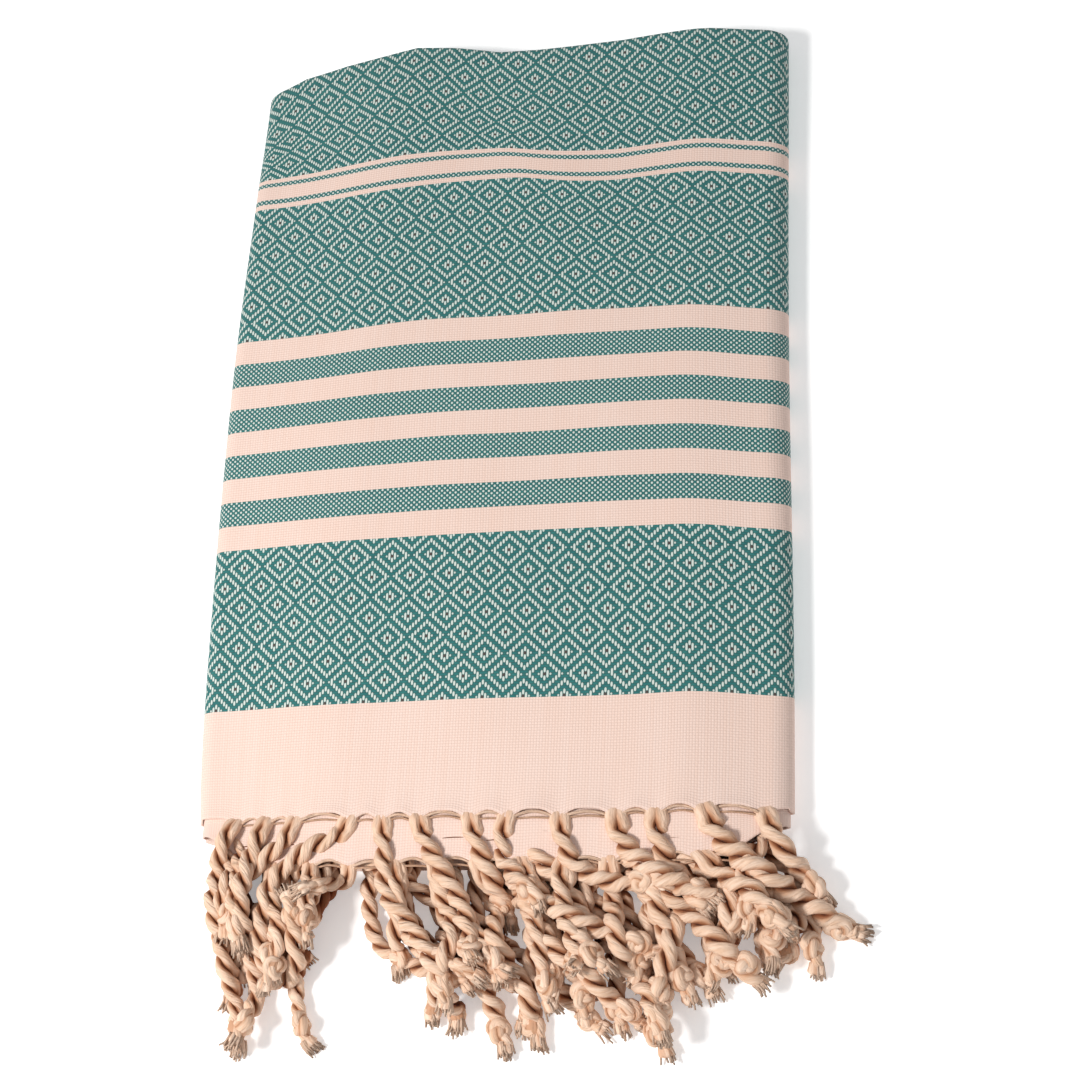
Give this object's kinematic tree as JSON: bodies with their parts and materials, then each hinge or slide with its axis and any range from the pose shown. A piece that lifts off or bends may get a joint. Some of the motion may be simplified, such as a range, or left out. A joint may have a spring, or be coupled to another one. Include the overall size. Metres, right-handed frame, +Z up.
{
  "type": "folded fringed bath towel",
  "caption": "Flat-woven cotton bath towel with striped and diamond-patterned bands, folded to a flat bundle, its hems ending in a fringe of twisted, knotted cords.",
  "frame": {"origin": "middle of the underside of the whole towel's bounding box, fringe included", "axes": "+Z up from the surface that the towel lies on, -Y towards the fringe, +X to the right seen from the fringe; the fold that turns the bundle in three is at +X"},
  "size_m": [0.2866, 0.4674, 0.0349],
  "materials": {
    "cotton_cloth": "matte woven cotton",
    "cotton_cord": "matte twisted cotton"
  },
  "bodies": {
    "root": {"cloth": "cotton_cloth", "fringe_top_cord_01": "cotton_cord", "fringe_top_cord_02": "cotton_cord", "fringe_top_cord_03": "cotton_cord", "fringe_top_cord_04": "cotton_cord", "fringe_top_cord_05": "cotton_cord", "fringe_top_cord_06": "cotton_cord", "fringe_top_cord_07": "cotton_cord", "fringe_top_cord_08": "cotton_cord", "fringe_top_cord_09": "cotton_cord", "fringe_top_cord_10": "cotton_cord", "fringe_top_cord_11": "cotton_cord", "fringe_top_cord_12": "cotton_cord", "fringe_top_cord_13": "cotton_cord", "fringe_second_cord_01": "cotton_cord", "fringe_second_cord_02": "cotton_cord", "fringe_second_cord_03": "cotton_cord", "fringe_second_cord_04": "cotton_cord", "fringe_second_cord_05": "cotton_cord", "fringe_second_cord_06": "cotton_cord", "fringe_second_cord_07": "cotton_cord", "fringe_second_cord_08": "cotton_cord", "fringe_second_cord_09": "cotton_cord", "fringe_second_cord_10": "cotton_cord", "fringe_second_cord_11": "cotton_cord", "fringe_second_cord_12": "cotton_cord", "fringe_second_cord_13": "cotton_cord", "fringe_lower_cord_01": "cotton_cord", "fringe_lower_cord_02": "cotton_cord", "fringe_lower_cord_03": "cotton_cord", "fringe_lower_cord_04": "cotton_cord", "fringe_lower_cord_05": "cotton_cord", "fringe_lower_cord_06": "cotton_cord", "fringe_lower_cord_07": "cotton_cord", "fringe_lower_cord_08": "cotton_cord", "fringe_lower_cord_09": "cotton_cord", "fringe_lower_cord_10": "cotton_cord", "fringe_lower_cord_11": "cotton_cord", "fringe_lower_cord_12": "cotton_cord", "fringe_lower_cord_13": "cotton_cord", "fringe_lower_cord_14": "cotton_cord", "fringe_lower_cord_15": "cotton_cord", "fringe_lower_cord_16": "cotton_cord", "fringe_lower_cord_17": "cotton_cord", "fringe_lower_cord_18": "cotton_cord", "fringe_lower_cord_19": "cotton_cord", "fringe_lower_cord_20": "cotton_cord", "fringe_lower_cord_21": "cotton_cord", "fringe_lower_cord_22": "cotton_cord", "fringe_lower_cord_23": "cotton_cord", "fringe_lower_cord_24": "cotton_cord", "fringe_lower_cord_25": "cotton_cord", "fringe_lower_cord_26": "cotton_cord", "fringe_bottom": "cotton_cord"}
  },
  "joints": []
}
